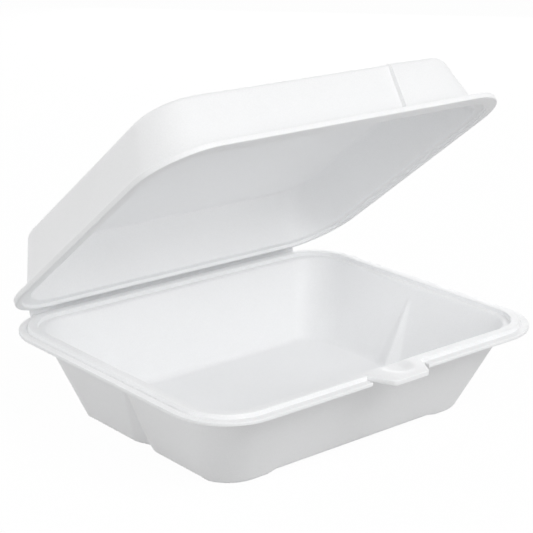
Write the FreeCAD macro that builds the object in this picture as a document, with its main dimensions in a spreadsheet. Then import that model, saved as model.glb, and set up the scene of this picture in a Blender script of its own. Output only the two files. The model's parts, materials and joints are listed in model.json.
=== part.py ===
# A hinged take-away container of white foam: a deep tray, a lid that folds over it along the
# back edge, and a thumb tab on the front of the rim. The lid stands open as it does in use.
# Frame: x runs along the hinge, y from the tab to the hinge, z up. The origin is on the table
# under the middle of the tray.
import FreeCAD, Part
import math
import os
import Sketcher

os.makedirs("parts", exist_ok=True)
doc = FreeCAD.newDocument("FoamContainer")

# Driving dimensions, in millimetres and degrees
sizes = [
    ("rim_width", 235.4, "width of the tray over its rim"),
    ("rim_depth", 189.4, "depth of the tray over its rim"),
    ("rim_corner", 32.0, "radius of the rim's corners"),
    ("foam", 2.3, "thickness of the foam sheet"),
    ("slant", 1.07, "level thickness of a slanted wall, as a multiple of the sheet"),
    ("lip_height", 48.4, "height of the lip's top above the table"),
    ("lip_thick", 1.9, "thickness of the lip"),
    ("edge_bevel", 0.5, "bevel of the edges of the lip, the ridge and the lid's rim"),
    ("ridge_inset", 4.8, "from the lip's edge to the raised ridge"),
    ("ridge_width", 5.4, "width of the ridge"),
    ("ridge_height", 2.0, "height of the ridge above the lip"),
    ("ledge_drop", 0.2, "how far the inner ledge lies below the lip's top"),
    ("wall_inset", 13.8, "from the lip's edge to the top of the tray's wall"),
    ("wall_corner", 20.0, "corner radius between the tray's walls, inside"),
    ("floor_side_inset", 30.5, "from the lip's edge to the floor, at the left and right"),
    ("floor_front_inset", 32.0, "from the lip's edge to the floor, at the front and back"),
    ("floor_fillet", 3.5, "fillet between wall and floor, inside"),
    ("foot_height", 1.2, "how far the corner feet stand below the floor"),
    ("foot_gap_width", 112.0, "clear span between the feet along the front"),
    ("foot_gap_depth", 95.0, "clear span between the feet along the sides"),
    ("flute_start", 8.5, "from the lip's top down to the start of the side flutes"),
    ("flute_depth", 3.2, "depth of a side flute at the floor"),
    ("flute_width", 17.0, "width of a side flute at the floor"),
    ("flute_tip", 3.0, "width of a side flute at its upper end"),
    ("tab_root", 35.2, "width of the thumb tab where it leaves the ridge"),
    ("tab_front", 23.0, "width of the thumb tab at its front"),
    ("tab_reach", 9.0, "how far the tab stands out past the lip's edge"),
    ("tab_thick", 2.9, "thickness of the tab"),
    ("tab_round", 1.2, "rounding of the tab's front corners"),
    ("tab_notch", 38.0, "width of the opening in the lip round the tab"),
    ("scoop_radius", 30.0, "radius of the thumb scoop"),
    ("scoop_depth", 1.1, "depth of the thumb scoop"),
    ("scoop_inset", 7.0, "from the lip's edge to the middle of the scoop"),
    ("scoop_shift", 3.0, "from the middle of the tab to the middle of the scoop"),
    ("hinge_setback", 2.4, "from the back edge of the rim to the hinge line"),
    ("hinge_rise", 5.5, "from the lip's top up to the hinge line"),
    ("web_length", 192.0, "length of the hinge web"),
    ("web_thick", 0.9, "thickness of the pressed hinge web"),
    ("web_gap", 0.3, "gap at the fold between the two halves of the web"),
    ("lid_angle", 38.2, "how far the lid stands open"),
    ("lid_gap", 0.3, "gap between the closed lid and the tray's lip"),
    ("lid_side", 1.4, "how far the lid stands past the tray at each side"),
    ("lid_front", 5.0, "how far the lid stands past the tray at the front"),
    ("lid_corner", 33.5, "radius of the lid's corners"),
    ("skirt_height", 3.1, "height of the lid's outer edge"),
    ("ridge_clear", 1.3, "room between the ridge and the lid's recess"),
    ("recess_clear", 0.3, "room above the ridge under the closed lid"),
    ("lid_wall_inset", 8.0, "from the tray's rim edge to the foot of the lid's wall"),
    ("lid_wall_corner", 23.0, "corner radius between the lid's walls, inside"),
    ("roof_inset", 16.0, "from the tray's rim edge to the lid's flat roof, at the sides and back"),
    ("roof_front", 3.2, "how far the roof reaches nearer to the rim at the front"),
    ("roof_rise", 31.8, "from the tray's lip to the underside of the lid's roof"),
    ("roof_fillet", 1.5, "fillet between the lid's wall and roof, inside"),
    ("crease_place", 43.0, "from the middle to the crease in the lid's front wall"),
    ("crease_lean", 5.0, "how far the crease leans outward at its top, and inward at its foot"),
    ("crease_width", 4.4, "width of the crease"),
    ("crease_depth", 1.2, "depth of the crease"),
]
sheet = doc.addObject("Spreadsheet::Sheet", "Sizes")
for row, (name, value, words) in enumerate(sizes, start=1):
    sheet.set("A%d" % row, name)
    sheet.set("B%d" % row, str(value))
    sheet.set("C%d" % row, words)
    sheet.setAlias("B%d" % row, name)
doc.recompute()


def origin_plane(body, role):
    """The body's own plane with this role, such as XY_Plane."""
    return next(item for item in body.Origin.OriginFeatures if item.Role == role)


def new_sketch(body, name, role, height="0"):
    """An empty sketch on one of the body's planes, lifted off it by an expression."""
    sketch = body.newObject("Sketcher::SketchObject", name)
    sketch.AttachmentSupport = (origin_plane(body, role), [""])
    sketch.MapMode = "FlatFace"
    sketch.setExpression(".AttachmentOffset.Base.z", height)
    doc.recompute()
    return sketch


def bind(sketch, constraint, expression):
    """Adds a sizing constraint and ties it to an expression."""
    index = sketch.addConstraint(constraint)
    sketch.setExpression("Constraints[%d]" % index, expression)
    return index


def number(sketch, expression):
    """The present value of an expression."""
    return float(sketch.evalExpression(expression))


def rounded_rectangle(sketch, half_width, front, back, radius):
    """A rectangle with four equal round corners. It reaches half_width to each side of x = 0
    and from -front to +back in y."""
    w, f, b, r = (number(sketch, text) for text in (half_width, front, back, radius))
    point = FreeCAD.Vector
    turns = [(w - r, b - r, 0), (-w + r, b - r, 90), (-w + r, -f + r, 180), (w - r, -f + r, 270)]
    for x, y, start in turns:
        circle = Part.Circle(point(x, y, 0), point(0, 0, 1), r)
        sketch.addGeometry(Part.ArcOfCircle(circle, math.radians(start), math.radians(start + 90)))
    sides = [((w - r, b), (-w + r, b)), ((-w, b - r), (-w, -f + r)),
             ((-w + r, -f), (w - r, -f)), ((w, -f + r), (w, b - r))]
    for begin, end in sides:
        sketch.addGeometry(Part.LineSegment(point(*begin, 0), point(*end, 0)))
    for corner in range(4):
        side = 4 + corner
        sketch.addConstraint(Sketcher.Constraint("Tangent", corner, 2, side, 1))
        sketch.addConstraint(Sketcher.Constraint("Tangent", side, 2, (corner + 1) % 4, 1))
    for corner in range(1, 4):
        sketch.addConstraint(Sketcher.Constraint("Equal", 0, corner))
    for side, word in ((4, "Horizontal"), (5, "Vertical"), (6, "Horizontal"), (7, "Vertical")):
        sketch.addConstraint(Sketcher.Constraint(word, side))
    bind(sketch, Sketcher.Constraint("Radius", 0, r), radius)
    bind(sketch, Sketcher.Constraint("DistanceX", -1, 1, 7, 1, w), half_width)
    bind(sketch, Sketcher.Constraint("DistanceX", 5, 1, -1, 1, w), half_width)
    bind(sketch, Sketcher.Constraint("DistanceY", 6, 1, -1, 1, f), front)
    bind(sketch, Sketcher.Constraint("DistanceY", -1, 1, 4, 1, b), back)


def polygon(sketch, corners):
    """A closed outline of straight lines. Each corner is a pair of expressions."""
    places = [FreeCAD.Vector(number(sketch, x), number(sketch, y), 0) for x, y in corners]
    count = len(places)
    for index in range(count):
        sketch.addGeometry(Part.LineSegment(places[index], places[(index + 1) % count]))
    for index in range(count):
        following = (index + 1) % count
        sketch.addConstraint(Sketcher.Constraint("Coincident", index, 2, following, 1))
    for index, (x, y) in enumerate(corners):
        place = places[index]
        bind(sketch, Sketcher.Constraint("DistanceX", -1, 1, index, 1, place.x), x)
        bind(sketch, Sketcher.Constraint("DistanceY", -1, 1, index, 1, place.y), y)


def pad(body, name, sketch, length):
    """Raises a sketch by an expression."""
    feature = body.newObject("PartDesign::Pad", name)
    feature.Profile = sketch
    feature.setExpression("Length", length)
    doc.recompute()


def pocket(body, name, sketch, length, reverse=False):
    """Cuts a sketch into the body, and makes sure that something came away."""
    before = body.Shape.Volume
    feature = body.newObject("PartDesign::Pocket", name)
    feature.Profile = sketch
    feature.setExpression("Length", length)
    feature.Reversed = reverse
    doc.recompute()
    if not body.Shape.Volume < before:
        raise RuntimeError(name + " cuts nothing")


def loft(body, name, first, second, cut=False):
    """A straight-sided solid between two sketches, added to the body or cut from it."""
    kind = "PartDesign::SubtractiveLoft" if cut else "PartDesign::AdditiveLoft"
    feature = body.newObject(kind, name)
    feature.Profile = first
    feature.Sections = [second]
    feature.Ruled = True
    doc.recompute()


def ease_edges(body, name, size, wanted, kind="Fillet"):
    """Fillets or chamfers the edges of the body's last feature that the test picks."""
    last = body.Tip
    edges = ["Edge%d" % (index + 1) for index, edge in enumerate(last.Shape.Edges) if wanted(edge)]
    feature = body.newObject("PartDesign::" + kind, name)
    feature.Base = (last, edges)
    feature.setExpression("Radius" if kind == "Fillet" else "Size", size)
    doc.recompute()


def flared_box(body, name, kind, low, high, corner, rounding, flat_end):
    """Fuses a box with leaning sides to the body, or cuts it from it. Its low and high ends are
    each given by height, half width, reach to the front and reach to the back. The corner radius
    is that of its leaning edges, and the rounding runs round the end at the height flat_end."""
    tool = doc.addObject("PartDesign::Body", name + "Body")
    wedge = tool.newObject("PartDesign::AdditiveWedge", name + "Box")
    wedge.AttachmentSupport = (origin_plane(tool, "XZ_Plane"), [""])
    wedge.MapMode = "FlatFace"
    for mark, (height, half, front, back) in (("", low), ("2", high)):
        wedge.setExpression("Y" + ("max" if mark else "min"), height)
        wedge.setExpression("X%smin" % mark, "-(%s)" % half)
        wedge.setExpression("X%smax" % mark, half)
        wedge.setExpression("Z%smin" % mark, "-(%s)" % back)
        wedge.setExpression("Z%smax" % mark, front)
    doc.recompute()
    ease_edges(tool, name + "Corners", corner, lambda edge: edge.BoundBox.ZLength > 1)
    ease_edges(tool, name + "Rounding", rounding, level_at(flat_end))
    feature = body.newObject("PartDesign::Boolean", name)
    feature.addObject(tool)
    feature.Type = kind
    doc.recompute()


def level_at(*heights):
    """A test for edges that lie level at one of these heights."""
    def test(edge):
        box = edge.BoundBox
        return box.ZLength < 1e-4 and any(abs(box.ZMin - height) < 1e-4 for height in heights)
    return test


# The tray, thermoformed from one sheet: flared walls, a flat floor and a stepped rim

half_width = "Sizes.rim_width / 2"
half_depth = "Sizes.rim_depth / 2"


def way_down(height):
    """How far down the tray's wall a height lies: 0 at the lip's top and 1 at the floor."""
    return "(Sizes.lip_height - (%s)) / (Sizes.lip_height - Sizes.foot_height - Sizes.foam)" % height


def wall_at(height, thickness):
    """One end of the tray's wall, as flared_box takes it: the inner face at a height, or the
    outer face where thickness is the wall's level thickness."""
    share = way_down(height)
    side = "Sizes.wall_inset + (Sizes.floor_side_inset - Sizes.wall_inset) * %s - %s"
    front = "Sizes.wall_inset + (Sizes.floor_front_inset - Sizes.wall_inset) * %s - %s"
    reach = "%s - (%s)" % (half_depth, front % (share, thickness))
    return height, "%s - (%s)" % (half_width, side % (share, thickness)), reach, reach


def rim_outline(sketch, inset):
    """The rim's outline, moved inward by an expression."""
    reach = "%s - (%s)" % (half_depth, inset)
    rounded_rectangle(sketch, "%s - (%s)" % (half_width, inset), reach, reach,
                      "Sizes.rim_corner - (%s)" % inset)


tray = doc.addObject("PartDesign::Body", "TrayBody")
tray.Label = "base_tray"
wall_thick = "Sizes.foam * Sizes.slant"

lip_underside = "Sizes.lip_height - Sizes.lip_thick"

lip = new_sketch(tray, "LipOutline", "XY_Plane", lip_underside)
rim_outline(lip, "0")
pad(tray, "Lip", lip, "Sizes.lip_thick")
lip_top = float(sheet.lip_height)
lip_bottom = float(sheet.lip_height - sheet.lip_thick)
ease_edges(tray, "LipEdge", "Sizes.edge_bevel", level_at(lip_top, lip_bottom), "Chamfer")
flared_box(tray, "Walls", "Fuse", wall_at("0", wall_thick), wall_at(lip_underside, wall_thick),
           "Sizes.wall_corner + Sizes.foam", "Sizes.floor_fillet + Sizes.foam", 0.0)
ridge = new_sketch(tray, "RidgeOutline", "XY_Plane", lip_underside)
rim_outline(ridge, "Sizes.ridge_inset")
pad(tray, "Ridge", ridge, "Sizes.lip_thick + Sizes.ridge_height")

ledge = new_sketch(tray, "LedgeOutline", "XY_Plane", "Sizes.lip_height - Sizes.ledge_drop")
rim_outline(ledge, "Sizes.ridge_inset + Sizes.ridge_width")
pocket(tray, "Ledge", ledge, "Sizes.ridge_height + 2 * Sizes.ledge_drop", reverse=True)
ridge_top = float(sheet.lip_height + sheet.ridge_height)
ease_edges(tray, "RidgeEdges", "Sizes.edge_bevel", level_at(ridge_top), "Chamfer")

floor_level = "Sizes.foot_height + Sizes.foam"
flared_box(tray, "Hollow", "Cut", wall_at(floor_level, "0"), wall_at("Sizes.lip_height", "0"),
           "Sizes.wall_corner", "Sizes.floor_fillet", float(sheet.foot_height + sheet.foam))

# The bottom is hollowed between the corners, so that the tray stands on four feet
cross = new_sketch(tray, "FootGaps", "XY_Plane")
gap_x = "Sizes.foot_gap_width / 2"
gap_y = "Sizes.foot_gap_depth / 2"
polygon(cross, [("-" + gap_x, "-" + half_depth), (gap_x, "-" + half_depth),
                (gap_x, "-" + gap_y), (half_width, "-" + gap_y), (half_width, gap_y),
                (gap_x, gap_y), (gap_x, half_depth), ("-" + gap_x, half_depth),
                ("-" + gap_x, gap_y), ("-" + half_width, gap_y),
                ("-" + half_width, "-" + gap_y), ("-" + gap_x, "-" + gap_y)])
pocket(tray, "Feet", cross, "Sizes.foot_height", reverse=True)


def wall_place(height):
    """How far from the middle the inner face of a side wall is at a height, as an expression."""
    lean = "(Sizes.floor_side_inset - Sizes.wall_inset) * " + way_down(height)
    return "(Sizes.rim_width / 2 - Sizes.wall_inset - %s)" % lean


def flute_section(body, name, side, height, width, depth, back):
    """A level triangle whose base lies back behind the wall's inner face and whose tip stands
    depth inside it."""
    sketch = new_sketch(body, name, "XY_Plane", height)
    base = "%s * (%s + %s)" % (side, wall_place(height), back)
    tip = "%s * (%s - (%s))" % (side, wall_place(height), depth)
    polygon(sketch, [(base, "-" + width), (base, width), (tip, "0")])
    return sketch


# A tapered flute is pressed into the middle of each side wall. It stands inward as a rib.
flute_top = "Sizes.lip_height - Sizes.flute_start"
flute_bottom = "Sizes.foot_height"
for side, word in ((-1, "Left"), (1, "Right")):
    rib_top = flute_section(tray, word + "RibTop", side, flute_top, "Sizes.flute_tip / 2",
                            "Sizes.foam / 8", "Sizes.foam / 2")
    rib_foot = flute_section(tray, word + "RibFoot", side, flute_bottom, "Sizes.flute_width / 2",
                             "Sizes.flute_depth", "Sizes.foam / 2")
    loft(tray, word + "Rib", rib_top, rib_foot)
    outside = "Sizes.foam * Sizes.slant"
    cut_top = flute_section(tray, word + "FluteTop", side, flute_top, "Sizes.flute_tip / 2",
                            "-" + outside, "2 * " + outside)
    cut_foot = flute_section(tray, word + "FluteFoot", side, "0", "Sizes.flute_width / 2",
                             "Sizes.flute_depth - " + outside, "2 * " + outside)
    loft(tray, word + "Flute", cut_top, cut_foot, cut=True)

# The thumb tab: the lip is cut away at the middle of the front, and a thick tongue takes its place
notch = new_sketch(tray, "TabNotch", "XY_Plane", "Sizes.lip_height")
notch_x = "Sizes.tab_notch / 2"
front_edge = "-Sizes.rim_depth / 2"
ridge_edge = "(%s + Sizes.ridge_inset)" % front_edge
polygon(notch, [("-" + notch_x, front_edge + " - Sizes.tab_reach"),
                (notch_x, front_edge + " - Sizes.tab_reach"),
                (notch_x, ridge_edge), ("-" + notch_x, ridge_edge)])
pocket(tray, "LipNotch", notch, "Sizes.lip_thick")
tab = new_sketch(tray, "TabOutline", "XY_Plane",
                 "Sizes.lip_height + Sizes.ridge_height - Sizes.tab_thick")
tab_front = front_edge + " - Sizes.tab_reach"
tab_back = ridge_edge + " + Sizes.ridge_width / 2"
polygon(tab, [("-Sizes.tab_root / 2", tab_back), ("-Sizes.tab_root / 2", ridge_edge),
              ("-Sizes.tab_front / 2", tab_front), ("Sizes.tab_front / 2", tab_front),
              ("Sizes.tab_root / 2", ridge_edge), ("Sizes.tab_root / 2", tab_back)])
pad(tray, "Tab", tab, "Sizes.tab_thick")
front_line = -sheet.rim_depth / 2 - sheet.tab_reach


def upright_at_front(edge):
    """A test for the upright edges at the tab's two front corners."""
    box = edge.BoundBox
    return box.YMax < front_line + 0.01 and box.XLength < 0.01 and box.ZLength > 1.0


ease_edges(tray, "TabCorners", "Sizes.tab_round", upright_at_front)
scoop = tray.newObject("PartDesign::SubtractiveSphere", "ThumbScoop")
scoop.AttachmentSupport = (origin_plane(tray, "XY_Plane"), [""])
scoop.MapMode = "FlatFace"
scoop.setExpression("Radius", "Sizes.scoop_radius")
scoop.setExpression(".AttachmentOffset.Base.x", "Sizes.scoop_shift")
scoop.setExpression(".AttachmentOffset.Base.y", front_edge + " + Sizes.scoop_inset")
scoop.setExpression(".AttachmentOffset.Base.z", "Sizes.lip_height + Sizes.ridge_height"
                    " + Sizes.scoop_radius - Sizes.scoop_depth")
doc.recompute()


def web_section(body, name, corners):
    """A strip of the hinge web: a section in the y-z plane, drawn out along x."""
    sketch = new_sketch(body, name + "Section", "YZ_Plane")
    polygon(sketch, corners)
    feature = body.newObject("PartDesign::Pad", name)
    feature.Profile = sketch
    feature.setExpression("Length", "Sizes.web_length")
    feature.Midplane = True
    doc.recompute()


# The tray's half of the hinge web rises from the back of the lip to the fold
back_edge = "Sizes.rim_depth / 2"
fold_y = "(Sizes.rim_depth / 2 + Sizes.hinge_setback)"
fold_z = "(Sizes.lip_height + Sizes.hinge_rise)"
web_section(tray, "WebFromTray", [
    (back_edge + " - Sizes.web_thick", lip_underside),
    (fold_y + " - Sizes.web_thick / 4", lip_underside),
    (fold_y + " + Sizes.web_thick", "Sizes.lip_height - Sizes.lip_thick / 2"),
    (fold_y + " + Sizes.web_thick", fold_z + " - Sizes.web_gap"),
    (fold_y, fold_z + " - Sizes.web_gap"),
    (fold_y, "Sizes.lip_height - Sizes.lip_thick / 4"),
    (fold_y + " - Sizes.web_thick", lip_underside + " + Sizes.web_thick"),
    (back_edge + " - Sizes.web_thick", lip_underside + " + Sizes.web_thick")])

# The lid, drawn closed with the fold at its own origin, then turned open about the fold

lid = doc.addObject("PartDesign::Body", "LidBody")
lid.Label = "lid"
lid_middle = "(-Sizes.rim_depth / 2 - Sizes.hinge_setback)"
parting = "(Sizes.lid_gap - Sizes.hinge_rise)"
skirt_top = "(%s + Sizes.skirt_height)" % parting
recess_top = "(Sizes.ridge_height + Sizes.recess_clear - Sizes.hinge_rise)"
roof_under = "(Sizes.roof_rise - Sizes.hinge_rise)"


def lid_outline(sketch, inset, radius, side="0", front="0"):
    """The rim's outline in the lid's own frame, moved inward by inset and let out at the sides
    and at the front."""
    rounded_rectangle(sketch, "%s - (%s) + %s" % (half_width, inset, side),
                      "Sizes.rim_depth + Sizes.hinge_setback - (%s) + %s" % (inset, front),
                      "-Sizes.hinge_setback - (%s)" % inset, radius)


skirt = new_sketch(lid, "SkirtOutline", "XY_Plane", parting)
lid_outline(skirt, "0", "Sizes.lid_corner", "Sizes.lid_side", "Sizes.lid_front")
pad(lid, "Skirt", skirt, "Sizes.skirt_height")
skirt_low = float(sheet.lid_gap - sheet.hinge_rise)
skirt_high = float(sheet.lid_gap - sheet.hinge_rise + sheet.skirt_height)
ease_edges(lid, "SkirtEdge", "Sizes.edge_bevel", level_at(skirt_low, skirt_high), "Chamfer")


def lid_wall_at(height, inset, front="0"):
    """One end of the lid's wall, as flared_box takes it, in from the rim by inset. The front
    stands further out by front."""
    return (height, "%s - (%s)" % (half_width, inset),
            "Sizes.rim_depth + Sizes.hinge_setback - (%s) + %s" % (inset, front),
            "-Sizes.hinge_setback - (%s)" % inset)


ceiling = float(sheet.roof_rise - sheet.hinge_rise)
flared_box(lid, "LidWalls", "Fuse", lid_wall_at(parting, "Sizes.lid_wall_inset - " + wall_thick),
           lid_wall_at(roof_under + " + Sizes.foam", "Sizes.roof_inset - " + wall_thick, "Sizes.roof_front"),
           "Sizes.lid_wall_corner + Sizes.foam", "Sizes.roof_fillet + Sizes.foam",
           ceiling + float(sheet.foam))
flared_box(lid, "LidHollow", "Cut", lid_wall_at(parting, "Sizes.lid_wall_inset"),
           lid_wall_at(roof_under, "Sizes.roof_inset", "Sizes.roof_front"),
           "Sizes.lid_wall_corner", "Sizes.roof_fillet", ceiling)

recess = new_sketch(lid, "RecessOutline", "XY_Plane", parting)
recess_inset = "Sizes.ridge_inset - Sizes.ridge_clear"
lid_outline(recess, recess_inset, "Sizes.rim_corner - (%s)" % recess_inset)
pocket(lid, "RidgeRecess", recess, "%s - %s" % (recess_top, parting), reverse=True)


def crease_section(name, height, share, place):
    """A level triangle across the outer face of the lid's front wall. The share tells how far up
    the wall it lies, and the place is its middle in x."""
    sketch = new_sketch(lid, name, "XY_Plane", height)
    inset = ("(Sizes.lid_wall_inset - %s) * (1 - %s) + (Sizes.roof_inset - Sizes.roof_front - %s) * %s"
             % (wall_thick, share, wall_thick, share))
    face = "-(Sizes.rim_depth + Sizes.hinge_setback) + (%s)" % inset
    outside = face + " - Sizes.crease_width / 2"
    polygon(sketch, [(place + " - Sizes.crease_width", outside), (place + " + Sizes.crease_width", outside),
                     (place, face + " + Sizes.crease_depth")])
    return sketch


# A pressed crease climbs the front wall of the lid, to one side of the middle
crease_foot = crease_section("CreaseFoot", skirt_top, "0.1",
                             "(Sizes.crease_place - Sizes.crease_lean)")
crease_head = crease_section("CreaseHead", roof_under + " + 2 * Sizes.foam", "1.07",
                             "(Sizes.crease_place + Sizes.crease_lean)")
loft(lid, "Crease", crease_foot, crease_head, cut=True)

web_section(lid, "WebFromLid", [
    ("-Sizes.hinge_setback - Sizes.web_thick", skirt_top),
    ("-Sizes.hinge_setback - Sizes.web_thick", skirt_top + " - Sizes.web_thick"),
    ("-Sizes.hinge_setback + Sizes.web_thick / 4", skirt_top + " - Sizes.web_thick"),
    ("-Sizes.web_gap", "-Sizes.web_thick"),
    ("-Sizes.web_gap", "0"),
    ("-Sizes.hinge_setback", skirt_top)])

lid.setExpression(".Placement.Base.y", fold_y)
lid.setExpression(".Placement.Base.z", fold_z)
lid.Placement.Rotation = FreeCAD.Rotation(FreeCAD.Vector(1, 0, 0), -float(sheet.lid_angle))
doc.recompute()

# Every object has to be sound before anything is written
for item in doc.Objects:
    if "Invalid" in item.State or "Error" in item.State:
        raise RuntimeError("%s failed: %s" % (item.Name, item.State))
for body in (tray, lid):
    shape = body.Shape
    if shape.isNull() or not shape.isValid():
        raise RuntimeError(body.Label + " is not a sound solid")
    shape.exportStep("parts/%s.step" % body.Label)
    print(body.Label, len(shape.Solids), "solid", round(shape.Volume / 1000, 1), "cm3")
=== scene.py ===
import bpy
import bmesh
import json
import math
from mathutils import Matrix, Vector
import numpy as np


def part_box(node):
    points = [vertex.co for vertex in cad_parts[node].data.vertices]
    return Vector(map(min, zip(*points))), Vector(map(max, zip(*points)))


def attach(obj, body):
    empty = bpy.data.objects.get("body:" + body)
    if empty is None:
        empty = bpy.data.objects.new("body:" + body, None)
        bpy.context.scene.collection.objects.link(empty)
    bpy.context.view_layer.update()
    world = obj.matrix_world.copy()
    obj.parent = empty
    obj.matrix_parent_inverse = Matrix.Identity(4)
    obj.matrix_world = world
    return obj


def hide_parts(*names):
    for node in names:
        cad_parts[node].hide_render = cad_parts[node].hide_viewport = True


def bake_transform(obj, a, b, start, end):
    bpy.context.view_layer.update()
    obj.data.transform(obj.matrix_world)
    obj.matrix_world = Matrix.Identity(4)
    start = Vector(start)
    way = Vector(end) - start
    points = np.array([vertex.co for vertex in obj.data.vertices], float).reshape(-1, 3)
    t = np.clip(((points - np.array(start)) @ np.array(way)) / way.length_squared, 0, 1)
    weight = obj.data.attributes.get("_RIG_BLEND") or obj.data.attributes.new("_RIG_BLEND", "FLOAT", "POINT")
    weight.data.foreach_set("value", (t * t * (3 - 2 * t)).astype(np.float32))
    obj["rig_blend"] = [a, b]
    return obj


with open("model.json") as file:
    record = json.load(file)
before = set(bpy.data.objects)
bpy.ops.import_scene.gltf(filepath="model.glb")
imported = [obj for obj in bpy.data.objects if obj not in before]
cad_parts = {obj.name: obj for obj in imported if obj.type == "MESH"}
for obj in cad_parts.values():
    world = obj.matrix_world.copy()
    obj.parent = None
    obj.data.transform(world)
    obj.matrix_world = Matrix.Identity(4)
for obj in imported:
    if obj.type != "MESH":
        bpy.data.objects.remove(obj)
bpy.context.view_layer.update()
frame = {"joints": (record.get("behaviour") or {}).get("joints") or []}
mm = 0.001

# The camera stands in front and to the left of the container, a little above it, with a long
# lens, as a photographer stands who wants the rim and the open lid in one picture.
azimuth = math.radians(-40.56)
elevation = math.radians(17.82)
roll = math.radians(0.60)
looks_at = Vector((68.72, 88.84, 44.82)) * mm
distance = 965.77 * mm
bpy.ops.object.camera_add()
camera = bpy.context.object
camera.name = "front_left_camera"
turn = Matrix.Rotation(azimuth, 3, "Z") @ Matrix.Rotation(math.pi / 2 - elevation, 3, "X")
turn = turn @ Matrix.Rotation(roll, 3, "Z")
camera.matrix_world = Matrix.Translation(looks_at + turn.col[2] * distance) @ turn.to_4x4()
camera.data.sensor_width = 36.0
camera.data.lens = 107.01
camera.data.clip_start = 10 * mm
camera.data.clip_end = 20.0
bpy.context.scene.camera = camera

# The foam is white polystyrene, blown and then pressed warm, so it has a thin satin skin over
# fine closed cells. The cells show as a faint speckle and the skin is never quite even.
foam = bpy.data.materials.new("pressed_white_foam")
foam.use_nodes = True
nodes, links = foam.node_tree.nodes, foam.node_tree.links
skin = nodes["Principled BSDF"]
place = nodes.new("ShaderNodeTexCoord")


def foam_noise(scale, detail):
    """A noise pattern that is fixed to the piece, counted in features for each metre."""
    noise = nodes.new("ShaderNodeTexNoise")
    noise.inputs["Scale"].default_value = scale
    noise.inputs["Detail"].default_value = detail
    links.new(place.outputs["Object"], noise.inputs["Vector"])
    return noise.outputs["Fac"]


def spread(value, low, high):
    """Turns the middle of a noise pattern into the range from low to high."""
    change = nodes.new("ShaderNodeMapRange")
    change.inputs["From Min"].default_value = 0.3
    change.inputs["From Max"].default_value = 0.7
    change.inputs["To Min"].default_value = low
    change.inputs["To Max"].default_value = high
    links.new(value, change.inputs["Value"])
    return change.outputs["Result"]


cells = nodes.new("ShaderNodeTexVoronoi")
cells.feature = "SMOOTH_F1"
cells.inputs["Scale"].default_value = 900
links.new(place.outputs["Object"], cells.inputs["Vector"])
grain = foam_noise(1500, 2)
clouds = foam_noise(22, 4)

shade = nodes.new("ShaderNodeMath")
shade.operation = "MULTIPLY"
links.new(spread(grain, 0.96, 1.0), shade.inputs[0])
links.new(spread(clouds, 0.985, 1.0), shade.inputs[1])
white = nodes.new("ShaderNodeMix")
white.data_type = "RGBA"
white.inputs["A"].default_value = (0, 0, 0, 1)
white.inputs["B"].default_value = (0.936, 0.94, 0.946, 1)
links.new(shade.outputs["Value"], white.inputs["Factor"])
links.new(white.outputs["Result"], skin.inputs["Base Color"])
links.new(spread(foam_noise(60, 3), 0.40, 0.50), skin.inputs["Roughness"])
skin.inputs["Specular IOR Level"].default_value = 0.45

fine = nodes.new("ShaderNodeBump")
fine.inputs["Strength"].default_value = 0.2
fine.inputs["Distance"].default_value = 0.15 * mm
links.new(cells.outputs["Distance"], fine.inputs["Height"])
uneven = nodes.new("ShaderNodeBump")
uneven.inputs["Strength"].default_value = 0.25
uneven.inputs["Distance"].default_value = 0.4 * mm
links.new(foam_noise(70, 3), uneven.inputs["Height"])
links.new(fine.outputs["Normal"], uneven.inputs["Normal"])
links.new(uneven.outputs["Normal"], skin.inputs["Normal"])

# The tray is one deep pressing: a floor, four flared walls, an inner ledge, a raised ridge that
# the lid closes over, and a flat lip outside it. It is modelled as loops joined to each other.
tray_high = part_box("base_tray")[1]
rim_x = tray_high.x
rim_y = 94.7 * mm
rim_corner = 32.0 * mm
lip_top = 48.4 * mm
lip_bottom = 46.5 * mm
corner_steps = 12
largest_round = 6.0 * mm


def start_piece(name):
    """An empty mesh object, open in edit mode."""
    bpy.ops.object.select_all(action="DESELECT")
    piece = bpy.data.objects.new(name, bpy.data.meshes.new(name))
    bpy.context.collection.objects.link(piece)
    bpy.context.view_layer.objects.active = piece
    piece.select_set(True)
    bpy.ops.object.mode_set(mode="EDIT")
    return piece


def corner_of(loop, point):
    """The middle of the round corner that a point of a loop lies on."""
    half_x, front, back, corner = loop[:4]
    x = math.copysign(half_x - corner, point.x)
    y = back - corner if point.y > (back - front) / 2 else corner - front
    return Vector((x, y))


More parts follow.
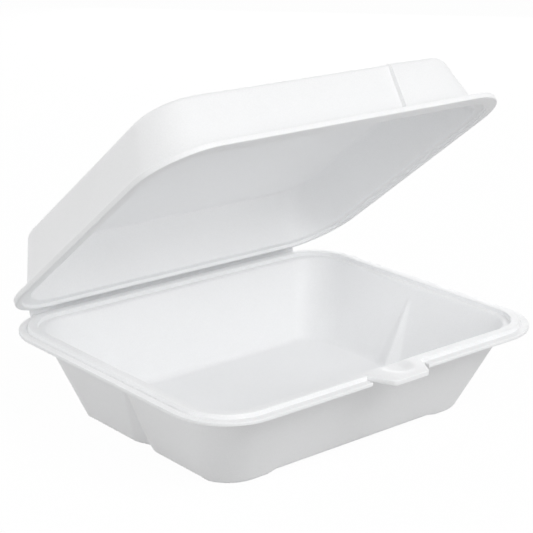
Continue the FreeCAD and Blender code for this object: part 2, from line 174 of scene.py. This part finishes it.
def press_loops(piece, loops):
    """Draws the first loop as a rounded rectangle, extrudes it to each of the others in turn,
    and rounds each loop by its own radius. A loop is half width, front, back, corner radius,
    height and rounding."""
    half_x, front, back, corner, height, rounding = loops[0]
    middle = (0, (back - front) / 2, height)
    bpy.ops.mesh.primitive_plane_add(size=2, location=middle)
    bpy.ops.transform.resize(value=(half_x, (front + back) / 2, 1), center_override=middle)
    bpy.ops.mesh.bevel(affect="VERTICES", offset=corner, segments=corner_steps, profile=0.5)
    shell = bmesh.from_edit_mesh(piece.data)
    weight = shell.edges.layers.float.new("bevel_weight_edge")
    for edge in shell.edges:
        edge[weight] = rounding / largest_round
    for before, after in zip(loops, loops[1:]):
        old_corner = before[3]
        new_corner, new_height, new_rounding = after[3:]
        bpy.ops.mesh.extrude_region()
        shell = bmesh.from_edit_mesh(piece.data)
        weight = shell.edges.layers.float["bevel_weight_edge"]
        for vertex in shell.verts:
            if vertex.select:
                arm = (vertex.co.xy - corner_of(before, vertex.co)) * new_corner / old_corner
                vertex.co = (*(corner_of(after, vertex.co) + arm), new_height)
        for edge in shell.edges:
            if edge.select:
                edge[weight] = new_rounding / largest_round
            elif any(vertex.select for vertex in edge.verts):
                edge[weight] = 0
        bmesh.update_edit_mesh(piece.data)
    bpy.ops.mesh.select_all(action="SELECT")
    bpy.ops.mesh.normals_make_consistent(inside=False)
    bpy.ops.object.mode_set(mode="OBJECT")
    bevel = piece.modifiers.new("rounding", "BEVEL")
    bevel.limit_method = "WEIGHT"
    bevel.width = largest_round
    bevel.segments = 4
    bevel.use_clamp_overlap = False
    bpy.ops.object.modifier_apply(modifier="rounding")


def slice_mesh(piece, axis, places):
    """Cuts the mesh square across an axis, so that it has points to move there."""
    normal = Vector((0, 0, 0))
    normal[axis] = 1
    bpy.ops.object.mode_set(mode="EDIT")
    for place_on_axis in places:
        bpy.ops.mesh.select_all(action="SELECT")
        bpy.ops.mesh.bisect(plane_co=normal * place_on_axis, plane_no=normal, threshold=1e-6)
    bpy.ops.object.mode_set(mode="OBJECT")


def ease(value, low, high):
    """0 below low, 1 above high, and a smooth step between."""
    share = min(1.0, max(0.0, (value - low) / (high - low)))
    return share * share * (3 - 2 * share)


def steps(low, high, step):
    """Evenly spaced places from low to high."""
    count = round((high - low) / step)
    return [low + (high - low) * index / count for index in range(count + 1)]


floor_side, floor_end, floor_corner = 86.6 * mm, 62.7 * mm, 22 * mm
floor_top = 3.5 * mm
wall_side, wall_end, wall_corner = 103.9 * mm, 80.9 * mm, 18.5 * mm
ledge = 10.2 * mm
ledge_top = lip_top - 0.2 * mm
ridge = 4.8 * mm
ridge_top = lip_top + 2.0 * mm
groove_floor = lip_top - 0.5 * mm
outer_side, outer_end, outer_corner = 105.7 * mm, 82.6 * mm, 21.1 * mm
foot_side, foot_end, foot_corner = 88.0 * mm, 64.2 * mm, 20.0 * mm

tray = start_piece("foam_tray")
tray_loops = [
    (floor_side, floor_end, floor_end, floor_corner, floor_top, 3.0 * mm),
    (wall_side, wall_end, wall_end, wall_corner, ledge_top, 1.4 * mm),
]
rim_steps = [
    (ledge, ledge_top, 0.3 * mm),
    (ledge - 0.3 * mm, ridge_top, 0.5 * mm),
    (ridge + 0.2 * mm, ridge_top, 0.5 * mm),
    (ridge, groove_floor, 0.12 * mm),
    (ridge - 0.4 * mm, groove_floor, 0.12 * mm),
    (ridge - 0.65 * mm, lip_top, 0.2 * mm),
    (0, lip_top, 0.4 * mm),
    (0, lip_bottom, 0.3 * mm),
]
for inset, height, rounding in rim_steps:
    side, end, corner = rim_x - inset, rim_y - inset, rim_corner - inset
    tray_loops.append((side, end, end, corner, height, rounding))
tray_loops += [
    (outer_side, outer_end, outer_end, outer_corner, lip_bottom, 0.6 * mm),
    (foot_side, foot_end, foot_end, foot_corner, 0.0, 1.8 * mm),
]
press_loops(tray, tray_loops)

# The foot of the tray is set a little off centre, to follow the outline in the picture.
foot_lean = 1.3 * mm
for vertex in tray.data.vertices:
    vertex.co.x -= foot_lean * min(1.0, max(0.0, 1 - vertex.co.z / lip_bottom))

# Four feet are pressed at the corners of the floor. Between them the bottom stands a little
# higher, and a short slope leads from the one to the other.
foot_height = 1.2 * mm
foot_slope = 6 * mm
foot_x, foot_y = 54 * mm, 46 * mm
fades_at = 8 * mm
for axis, inner in ((0, foot_x), (1, foot_y)):
    outward = [inner, inner + foot_slope / 2, inner + foot_slope]
    slice_mesh(tray, axis, [-place_on_axis for place_on_axis in reversed(outward)] + outward)
for vertex in tray.data.vertices:
    x, y, z = vertex.co
    within_floor = max(abs(x) - floor_side, abs(y) - floor_end) < -0.5 * mm
    on_floor = within_floor and 2 * mm < z < floor_top + 4 * mm
    if z < fades_at and not on_floor:
        foot = ease(abs(x), foot_x, foot_x + foot_slope) * ease(abs(y), foot_y, foot_y + foot_slope)
        vertex.co.z += foot_height * (1 - foot) * (1 - ease(z, 0, fades_at))

# A tapered flute stiffens each side wall. It starts as a rounded nib under the rim and grows
# to a deep vee at the table. Inside the tray it stands out as a rib.
flute_top = lip_top - 8.5 * mm
flute_middle = -1.5 * mm
nib_half, vee_half = 1.4 * mm, 9.4 * mm
nib_depth, vee_depth = 1.0 * mm, 3.4 * mm
slice_mesh(tray, 1, steps(-13 * mm, 10 * mm, 1 * mm))
slice_mesh(tray, 2, steps(2 * mm, flute_top + 2 * mm, 2 * mm))
for vertex in tray.data.vertices:
    x, y, z = vertex.co
    on_side_wall = 70 * mm < abs(x) < rim_x - 12 * mm
    if on_side_wall and z < flute_top + 1 * mm:
        down = min(1.0, max(0.0, (flute_top - z) / flute_top))
        half = nib_half + (vee_half - nib_half) * down
        deep = nib_depth + (vee_depth - nib_depth) * down
        deep *= ease(flute_top - z, -1 * mm, 1.5 * mm)
        across = abs(y - flute_middle) / half
        if across < 1:
            vertex.co.x -= math.copysign(deep * (1 - across) ** 1.15, x)

# The thumb tab is a thick tongue that leaves the ridge through a gap cut in the lip. A shallow
# scoop for the thumb is pressed into it and breaks the inner line of the ridge.
tab_root, tab_front = -(rim_y - ridge), -(rim_y + 9 * mm)
tab_width, tab_thick = 23 * mm, 2.9 * mm
flare_left, flare_right = 6.5 * mm, 8.7 * mm
root_spread, root_depth = 1.2 * mm, 2.4 * mm
gap_middle, gap_width, gap_depth, gap_height = 1.1 * mm, 39.4 * mm, 10 * mm, 8 * mm


def join_solid(piece, tool, operation):
    """Unites a closed mesh with the piece, or takes it away, and removes the tool."""
    change = piece.modifiers.new("join", "BOOLEAN")
    change.operation = operation
    change.solver = "EXACT"
    change.object = tool
    bpy.ops.object.select_all(action="DESELECT")
    piece.select_set(True)
    bpy.context.view_layer.objects.active = piece
    bpy.ops.object.modifier_apply(modifier="join")
    spent = tool.data
    bpy.data.objects.remove(tool)
    bpy.data.meshes.remove(spent)


bpy.ops.mesh.primitive_cube_add(size=1, location=(gap_middle, tab_root - gap_depth / 2, lip_top))
gap = bpy.context.object
gap.scale = (gap_width, gap_depth, gap_height)
bpy.ops.object.transform_apply()
join_solid(tray, gap, "DIFFERENCE")

tab_middle = (0, (tab_root + tab_front) / 2, ridge_top - tab_thick / 2)
bpy.ops.mesh.primitive_cube_add(size=1, location=tab_middle)
tab = bpy.context.object
tab.scale = (tab_width, tab_root - tab_front, tab_thick)
bpy.ops.object.transform_apply()
weights = tab.data.attributes.new("bevel_weight_edge", "FLOAT", "EDGE")
for edge in tab.data.edges:
    begin, end = (tab.data.vertices[index].co for index in edge.vertices)
    if max(begin.y, end.y) < tab_front + 1 * mm and abs(begin.x - end.x) < 1 * mm:
        weights.data[edge.index].value = 1.0
for vertex in tab.data.vertices:
    if vertex.co.y > tab_front + 1 * mm:
        vertex.co.x += flare_right if vertex.co.x > 0 else -flare_left
for name, width, method in (("corners", 1.5 * mm, "WEIGHT"), ("edges", 0.45 * mm, "ANGLE")):
    bevel = tab.modifiers.new(name, "BEVEL")
    bevel.width, bevel.segments, bevel.limit_method = width, 4, method
    bpy.ops.object.modifier_apply(modifier=name)
for vertex in tab.data.vertices:
    if vertex.co.y > tab_root - 1 * mm:
        vertex.co += Vector((math.copysign(root_spread, vertex.co.x), root_depth, 0))
join_solid(tray, tab, "UNION")

scoop_middle = Vector((3.0, -88.6)) * mm
scoop_depth = 1.3 * mm
scoop_flat, scoop_reach = 3.5 * mm, 10 * mm
scoop_from = lip_top + 0.6 * mm
slice_mesh(tray, 0, steps(-8 * mm, 14 * mm, 1 * mm))
slice_mesh(tray, 1, steps(-99 * mm, -83 * mm, 1 * mm))
for vertex in tray.data.vertices:
    if vertex.co.z > scoop_from:
        away = (vertex.co.xy - scoop_middle).length
        dish = 1 - ease(away, scoop_flat, scoop_reach)
        vertex.co.z -= scoop_depth * dish * ease(vertex.co.z, scoop_from, ridge_top)


def skin_piece(piece):
    """Shades a piece smooth, with its tighter pressed edges left crisp, and gives it the foam."""
    bpy.ops.object.select_all(action="DESELECT")
    piece.select_set(True)
    bpy.context.view_layer.objects.active = piece
    bpy.ops.object.shade_smooth_by_angle(angle=math.radians(35))
    piece.data.materials.append(foam)


skin_piece(tray)
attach(tray, "tray")
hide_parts("base_tray")

# The lid is the other half of the same sheet: shallower, with a rim that has a recess for the
# ridge. It is modelled closed over the tray and then turned open about the fold.
hinge = frame["joints"][0]
fold = Vector(hinge["pos_m"])
open_angle = math.radians(180 - hinge["range_deg"][1])
parting = lip_top + 0.3 * mm
skirt_top = parting + 3.1 * mm
recess_top = ridge_top + 0.3 * mm
roof_under = lip_top + 32.3 * mm
roof_top = roof_under + 2.3 * mm
lid_side, lid_front = 1.4 * mm, 5.0 * mm
recess, mouth = 3.4 * mm, 3.2 * mm
inner_roof = (99.8 * mm, 82.1 * mm, 78.2 * mm, 21.5 * mm)
inner_foot = (109.2 * mm, 86.4 * mm, 86.2 * mm, 24.8 * mm)
recess_roof = (rim_x - recess, rim_y - recess, rim_y - recess, rim_corner - recess)
recess_mouth = (rim_x - mouth, rim_y - mouth, rim_y - mouth, rim_corner - mouth)
flange = (rim_x + lid_side, rim_y + lid_front, rim_y, 33.5 * mm)
outer_foot = (111.4 * mm, 88.7 * mm, 88.4 * mm, 27.3 * mm)
outer_roof = (102.3 * mm, 84.6 * mm, 80.7 * mm, 23.8 * mm)

lid = start_piece("foam_lid")
press_loops(lid, [
    (*inner_roof, roof_under, 1.6 * mm),
    (*inner_foot, recess_top, 0.7 * mm),
    (*recess_roof, recess_top, 0.35 * mm),
    (*recess_mouth, parting, 0.45 * mm),
    (*flange, parting, 0.5 * mm),
    (*flange, skirt_top, 0.5 * mm),
    (*outer_foot, skirt_top, 0.35 * mm),
    (*outer_roof, roof_top, 2.4 * mm),
])

# A slanted crease crosses the front wall, pressed in the same sheet. Right of it the wall stands
# proud like a low pleat, and settles back to flat.
crease_foot = 43.2 * mm
crease_slant = 5.2 * mm / (roof_top - skirt_top)
crease_half = 0.45 * mm
crease_dip = 0.5 * mm
pleat_foot, pleat_top = 1.9 * mm, 0.9 * mm
across_crease = Vector((1, 0, -crease_slant))
bpy.ops.object.mode_set(mode="EDIT")
for away in (-6.0, -3.0, -1.0, -0.6, -0.45, 0.45, 0.6, 0.9, 3.0, 9.0, 18.0, 30.0):
    on_crease = (crease_foot + away * mm, 0, skirt_top)
    bpy.ops.mesh.select_all(action="SELECT")
    bpy.ops.mesh.bisect(plane_co=on_crease, plane_no=across_crease, threshold=1e-6)
bpy.ops.object.mode_set(mode="OBJECT")
slice_mesh(lid, 2, [skirt_top + height * mm for height in (0.6, 1.2, 2.5, 10, 17, 24, 28, 30)])
for vertex in lid.data.vertices:
    x, y, z = vertex.co
    if y < -78 * mm and z > skirt_top + 0.5 * mm:
        up = (z - skirt_top) / (roof_top - skirt_top)
        away = x - crease_foot - crease_slant * (z - skirt_top)
        dip = crease_dip * ease(away, -6 * mm, -0.6 * mm) * (1 - ease(up, 0.8, 1.0))
        rise = min(1.0, max(0.0, (away + crease_half) / (2 * crease_half)))
        proud = (pleat_foot + (pleat_top - pleat_foot) * ease(up, 0.82, 1.0)) * rise
        settle = (1 - ease(away, 3 * mm, 40 * mm)) * ease(z - skirt_top, 0.4 * mm, 1.2 * mm)
        vertex.co.y += (dip - proud) * settle

# The roof is set a little off centre, to follow the outline in the picture.
roof_lean = 2.5 * mm
for vertex in lid.data.vertices:
    up = (vertex.co.z - skirt_top) / (roof_top - skirt_top)
    vertex.co.x += roof_lean * min(1.0, max(0.0, up))

for vertex in lid.data.vertices:
    vertex.co = fold + Matrix.Rotation(-open_angle, 3, "X") @ (vertex.co - fold)
skin_piece(lid)
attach(lid, "lid")
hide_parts("lid")

# The two halves hang together by a thin pressed strip. It rises from the back of the tray's lip
# to the fold, and goes on from there to the back of the lid's rim.
web_half_length = 95.5 * mm
web_half_thick = 0.45 * mm


def opened(y, z):
    """A place on the closed lid, moved to where it is with the lid open."""
    arm = Vector((0, y, z)) - Vector((0, fold.y, fold.z))
    arm.rotate(Matrix.Rotation(-open_angle, 3, "X"))
    return fold.y + arm.y, fold.z + arm.z


up_from_tray = [(93.6, 47.4), (94.6, 47.5), (95.2, 47.9), (95.55, 48.5), (95.8, 49.3),
                (96.1, 50.4), (96.45, 51.6), (96.8, 52.6), (97.1, 53.3), (97.15, 53.8)]
on_to_lid = [(96.9, 53.6), (96.5, 53.2), (96.0, 52.7), (95.4, 52.1), (94.9, 51.6), (94.2, 51.2), (93.4, 51.1)]
path_of_web = [(y * mm, z * mm) for y, z in up_from_tray]
path_of_web += [opened(y * mm, z * mm) for y, z in on_to_lid]
web = start_piece("foam_hinge_web")
strip = bmesh.from_edit_mesh(web.data)
sides = []
for side in (1, -1):
    for index, (y, z) in enumerate(path_of_web):
        before = path_of_web[max(index - 1, 0)]
        after = path_of_web[min(index + 1, len(path_of_web) - 1)]
        along = Vector((after[0] - before[0], after[1] - before[1])).normalized()
        off_y, off_z = side * along.y * web_half_thick, -side * along.x * web_half_thick
        sides.append(strip.verts.new((-web_half_length, y + off_y, z + off_z)))
count = len(path_of_web)
for index in range(count - 1):
    strip.faces.new((sides[index], sides[index + 1], sides[count + index + 1], sides[count + index]))
bmesh.update_edit_mesh(web.data)
bpy.ops.mesh.select_all(action="SELECT")
for half in range(2):
    bpy.ops.mesh.extrude_region_move(TRANSFORM_OT_translate={"value": (web_half_length, 0, 0)})
bpy.ops.mesh.select_all(action="SELECT")
bpy.ops.mesh.normals_make_consistent(inside=False)
bpy.ops.object.mode_set(mode="OBJECT")
skin_piece(web)
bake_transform(web, "tray", "lid", start=(0, 97.2 * mm, 52.8 * mm), end=(0, 96.2 * mm, 54.0 * mm))

# The container stands on a sheet of plain white card. The card glows towards the camera, so that
# it looks as white as the studio behind it and still takes a faint shadow of the tray.
bpy.ops.mesh.primitive_plane_add(size=6, location=(0, 0, -0.2 * mm))
floor = bpy.context.object
floor.name = "white_floor"
card = bpy.data.materials.new("white_card")
card.use_nodes = True


def seen_directly(tree):
    """1 for what the camera sees, also in gloss or through a clear piece, and 0 for other light."""
    rays = tree.nodes.new("ShaderNodeLightPath")
    seen = rays.outputs["Is Camera Ray"]
    for kind in ("Is Glossy Ray", "Is Transmission Ray"):
        either = tree.nodes.new("ShaderNodeMath")
        either.operation = "MAXIMUM"
        tree.links.new(seen, either.inputs[0])
        tree.links.new(rays.outputs[kind], either.inputs[1])
        seen = either.outputs["Value"]
    return seen


nodes, links = card.node_tree.nodes, card.node_tree.links
lit = nodes["Principled BSDF"]
lit.inputs["Base Color"].default_value = (0.48, 0.48, 0.48, 1)
lit.inputs["Roughness"].default_value = 0.9
lit.inputs["Specular IOR Level"].default_value = 0.1
glow = nodes.new("ShaderNodeEmission")
glow.inputs["Color"].default_value = (1, 1, 1, 1)
glow.inputs["Strength"].default_value = 1.04
shown = nodes.new("ShaderNodeMath")
shown.operation = "MULTIPLY"
shown.inputs[1].default_value = 0.93
links.new(seen_directly(card.node_tree), shown.inputs[0])
both = nodes.new("ShaderNodeMixShader")
links.new(shown.outputs["Value"], both.inputs["Fac"])
links.new(lit.outputs["BSDF"], both.inputs[1])
links.new(glow.outputs["Emission"], both.inputs[2])
links.new(both.outputs["Shader"], nodes["Material Output"].inputs["Surface"])
floor.data.materials.append(card)

# The studio round the container is plain white. The camera sees it at full white, and it lights
# the foam less strongly than that.
world = bpy.data.worlds.new("studio")
bpy.context.scene.world = world
world.use_nodes = True
nodes, links = world.node_tree.nodes, world.node_tree.links
sky = nodes["Background"]
sky.inputs["Color"].default_value = (1, 1, 1, 1)
sky.inputs["Strength"].default_value = 0.42
white_sky = nodes.new("ShaderNodeBackground")
white_sky.inputs["Strength"].default_value = 1.0
pick = nodes.new("ShaderNodeMixShader")
links.new(seen_directly(world.node_tree), pick.inputs["Fac"])
links.new(sky.outputs["Background"], pick.inputs[1])
links.new(white_sky.outputs["Background"], pick.inputs[2])
links.new(pick.outputs["Shader"], nodes["World Output"].inputs["Surface"])


# Six soft lamps stand round the container, all turned to its middle. The three in front grow
# weaker towards the floor, a strip lights the left wall, and two stand behind.
def softbox(name, place_at, aim, width, height, watts):
    """A soft rectangular lamp at a place, turned to face a point."""
    bpy.ops.object.light_add(type="AREA", location=place_at)
    lamp = bpy.context.object
    lamp.name = name
    lamp.data.shape = "RECTANGLE"
    lamp.data.size, lamp.data.size_y = width, height
    lamp.data.energy = watts
    direction = Vector(aim) - Vector(place_at)
    lamp.rotation_euler = direction.to_track_quat("-Z", "Y").to_euler()


middle = (0, 0, 80 * mm)
softbox("high_front_softbox", (0.01, -0.94, 1.12), middle, 0.75, 0.75, 6.0)
softbox("front_right_softbox", (0.47, -1.14, 0.74), middle, 0.6, 0.75, 4.1)
softbox("low_front_softbox", (-0.24, -1.37, 0.27), middle, 0.75, 0.5, 1.8)
softbox("low_left_strip", (-1.39, 0.01, 0.27), middle, 0.25, 0.6, 4.4)
softbox("low_back_softbox", (0.98, 0.98, 0.27), middle, 0.75, 0.5, 3.7)
softbox("back_left_softbox", (-0.47, 1.14, 0.74), middle, 0.75, 0.75, 3.5)

bpy.context.scene.view_settings.view_transform = "Standard"
bpy.context.scene.cycles.diffuse_bounces = 12
bpy.context.scene.cycles.max_bounces = 14
